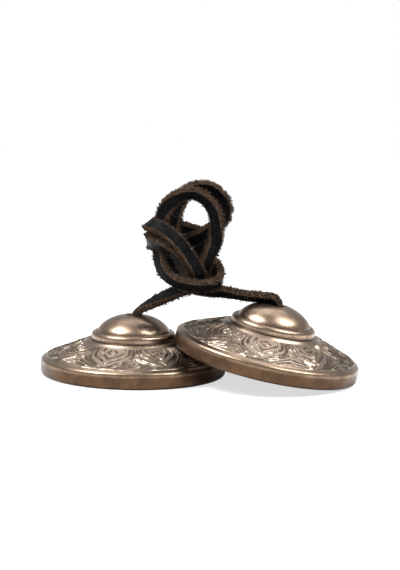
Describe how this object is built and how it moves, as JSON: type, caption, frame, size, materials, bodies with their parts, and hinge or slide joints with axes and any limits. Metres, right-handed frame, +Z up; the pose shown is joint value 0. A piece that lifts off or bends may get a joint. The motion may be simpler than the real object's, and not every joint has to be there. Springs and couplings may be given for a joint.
{
  "type": "tingsha cymbals",
  "caption": "Cast bronze tingsha: domed hand cymbals with a lotus-petal band, joined by a knotted leather strap, struck edge to edge for a long high ring.",
  "frame": {"origin": "on the table, under the middle of the pair of cymbals", "axes": "+Z up, +X from the flat cymbal towards the leaning one, +Y away from the viewer"},
  "size_m": [0.1199, 0.0792, 0.0737],
  "materials": {
    "bronze": "aged cast bronze, satin, with worn bright ridges",
    "leather": "black grain face with brown fuzzy cut edges"
  },
  "bodies": {
    "left_cymbal": {"left_cymbal": "bronze"},
    "left_knot": {"left_knot": "leather"},
    "strap": {"left_lead": "leather", "strap_loops": "leather", "right_lead": "leather"},
    "right_knot": {"right_knot": "leather"},
    "right_cymbal": {"right_cymbal": "bronze"}
  },
  "joints": [
    {"name": "left_cymbal_spin", "type": "hinge", "parent": "left_cymbal", "child": "left_knot", "pos_m": [-0.0248, 0.0045, 0.0227], "axis": [0, 0, 1], "continuous": true},
    {"name": "strap_lift", "type": "hinge", "parent": "left_knot", "child": "strap", "pos_m": [-0.0248, 0.0045, 0.0227], "axis": [0, -1, 0], "range_deg": [0, 60]},
    {"name": "right_cymbal_swing", "type": "hinge", "parent": "strap", "child": "right_knot", "pos_m": [0.02912, -0.0053, 0.0282], "axis": [1, 0, 0], "range_deg": [0, 12]},
    {"name": "right_cymbal_spin", "type": "hinge", "parent": "right_knot", "child": "right_cymbal", "pos_m": [0.02912, -0.0053, 0.0282], "axis": [0.1966, -0.0357, 0.9798], "continuous": true}
  ]
}
